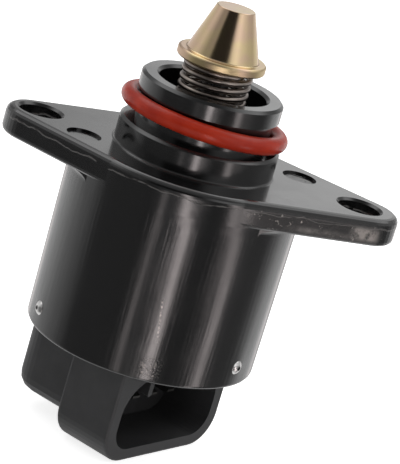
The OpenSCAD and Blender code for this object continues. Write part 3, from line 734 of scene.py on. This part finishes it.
def as_grey(tree, value):
    """A number as a colour with three equal parts."""
    node = tree.nodes.new("ShaderNodeCombineColor")
    for socket in node.inputs:
        put(tree, socket, value)
    return node.outputs[0]


def lit_by(tree, colour, base, amount):
    """A colour with so much light of another colour added."""
    node = tree.nodes.new("ShaderNodeVectorMath")
    node.operation = "MULTIPLY_ADD"
    node.inputs[0].default_value = colour
    put(tree, node.inputs[1], as_grey(tree, amount))
    put(tree, node.inputs[2], base)
    return node.outputs[0]


def ring_of_light(tree, azimuth, stops):
    """Brightness round the part, from pairs of compass direction in degrees and brightness."""
    turn = tree.nodes.new("ShaderNodeMapRange")
    for label, setting in {"Value": azimuth, "From Min": -math.pi, "From Max": math.pi}.items():
        put(tree, turn.inputs[label], setting)
    ramp = tree.nodes.new("ShaderNodeValToRGB")
    put(tree, ramp.inputs["Fac"], turn.outputs[0])
    points = ramp.color_ramp.elements
    while len(points) < len(stops):
        points.new(0.5)
    for point, (direction, brightness) in zip(points, stops):
        point.position = (direction + 180) / 360
        point.color = (brightness, brightness, brightness, 1.0)
    return ramp.outputs["Color"]


def by_height(tree, elevation, low, high, *ends):
    """Smooth step between two heights in degrees above the horizon."""
    return remap(tree, elevation, math.radians(low), math.radians(high), *ends)


def strip_of_light(tree, azimuth, elevation, low_end, high_end, half_width, soft, brightness, top):
    """Soft strip that reaches from below the part up to its top, and leans between two directions."""
    middle = by_height(tree, elevation, -20, -15.5, math.radians(low_end), math.radians(high_end))
    aside = math_node(tree, "WRAP", math_node(tree, "SUBTRACT", azimuth, middle), math.pi, -math.pi)
    across = band(tree, aside, math.radians(-half_width), math.radians(half_width), math.radians(soft))
    foot = by_height(tree, elevation, -50, -34)
    head = by_height(tree, elevation, top + 1, top - 1)
    return product(tree, across, foot, head, brightness)


def studio_world():
    """White behind the part for the camera, and a soft studio room for everything else."""
    world = bpy.data.worlds.new("studio")
    bpy.context.scene.world = world
    world.use_nodes = True
    tree = world.node_tree
    x, y, z = parts_of(tree, tree.nodes.new("ShaderNodeTexCoord").outputs["Generated"])
    azimuth = math_node(tree, "ARCTAN2", y, x)
    elevation = math_node(tree, "ARCSINE", z)
    low = ring_of_light(tree, azimuth, LOW_ROOM)
    high = ring_of_light(tree, azimuth, HIGH_ROOM)
    room = mix_colours(tree, by_height(tree, elevation, 0, 12), low, high)
    above = by_height(tree, elevation, 58, 72, SKYLIGHT, ZENITH)
    above = product(tree, above, remap(tree, y, -0.3, 0.1, FRONT_SHARE, 1.0))
    room = mix_colours(tree, by_height(tree, elevation, 32, 46), room, as_grey(tree, above))
    room = mix_colours(tree, by_height(tree, elevation, -42, -56), room, (TABLE, TABLE, TABLE))
    strips = total(tree, *(strip_of_light(tree, azimuth, elevation, *strip) for strip in STRIPS))
    glow = lit_by(tree, WARM_WHITE, room, strips)
    camera_sees = tree.nodes.new("ShaderNodeLightPath").outputs["Is Camera Ray"]
    shown = mix_colours(tree, camera_sees, glow, (1.0, 1.0, 1.0))
    put(tree, tree.nodes["Background"].inputs["Color"], shown)


def photo_camera():
    """The camera as worked out from the photo: turned 1.24 degrees, 17.2 degrees up and rolled 16.5."""
    azimuth, elevation, roll = (math.radians(d) for d in (1.24, 17.2, 16.5))
    distance = 356.7 * MM
    shift_right, shift_up = 3.10 * MM, -3.12 * MM
    target = Vector((0, 0, -8 * MM))
    focal_px = 2581.0
    photo_height_px = 464
    back = Vector((math.sin(azimuth) * math.cos(elevation),
                   -math.cos(azimuth) * math.cos(elevation), math.sin(elevation)))
    level = Vector((math.cos(azimuth), math.sin(azimuth), 0))
    upright = back.cross(level)
    right = math.cos(roll) * level + math.sin(roll) * upright
    up = -math.sin(roll) * level + math.cos(roll) * upright
    data = bpy.data.cameras.new("camera")
    data.sensor_width = 36.0
    data.lens = data.sensor_width * focal_px / photo_height_px
    data.clip_start = 0.01
    data.clip_end = 20.0
    camera = bpy.data.objects.new("camera", data)
    bpy.context.scene.collection.objects.link(camera)
    stand = target + back * distance + right * shift_right + up * shift_up
    camera.matrix_world = Matrix.Translation(stand) @ Matrix((right, up, back)).transposed().to_4x4()
    bpy.context.scene.camera = camera


stage_floor()
studio_world()
photo_camera()
bpy.context.scene.view_settings.view_transform = "Standard"
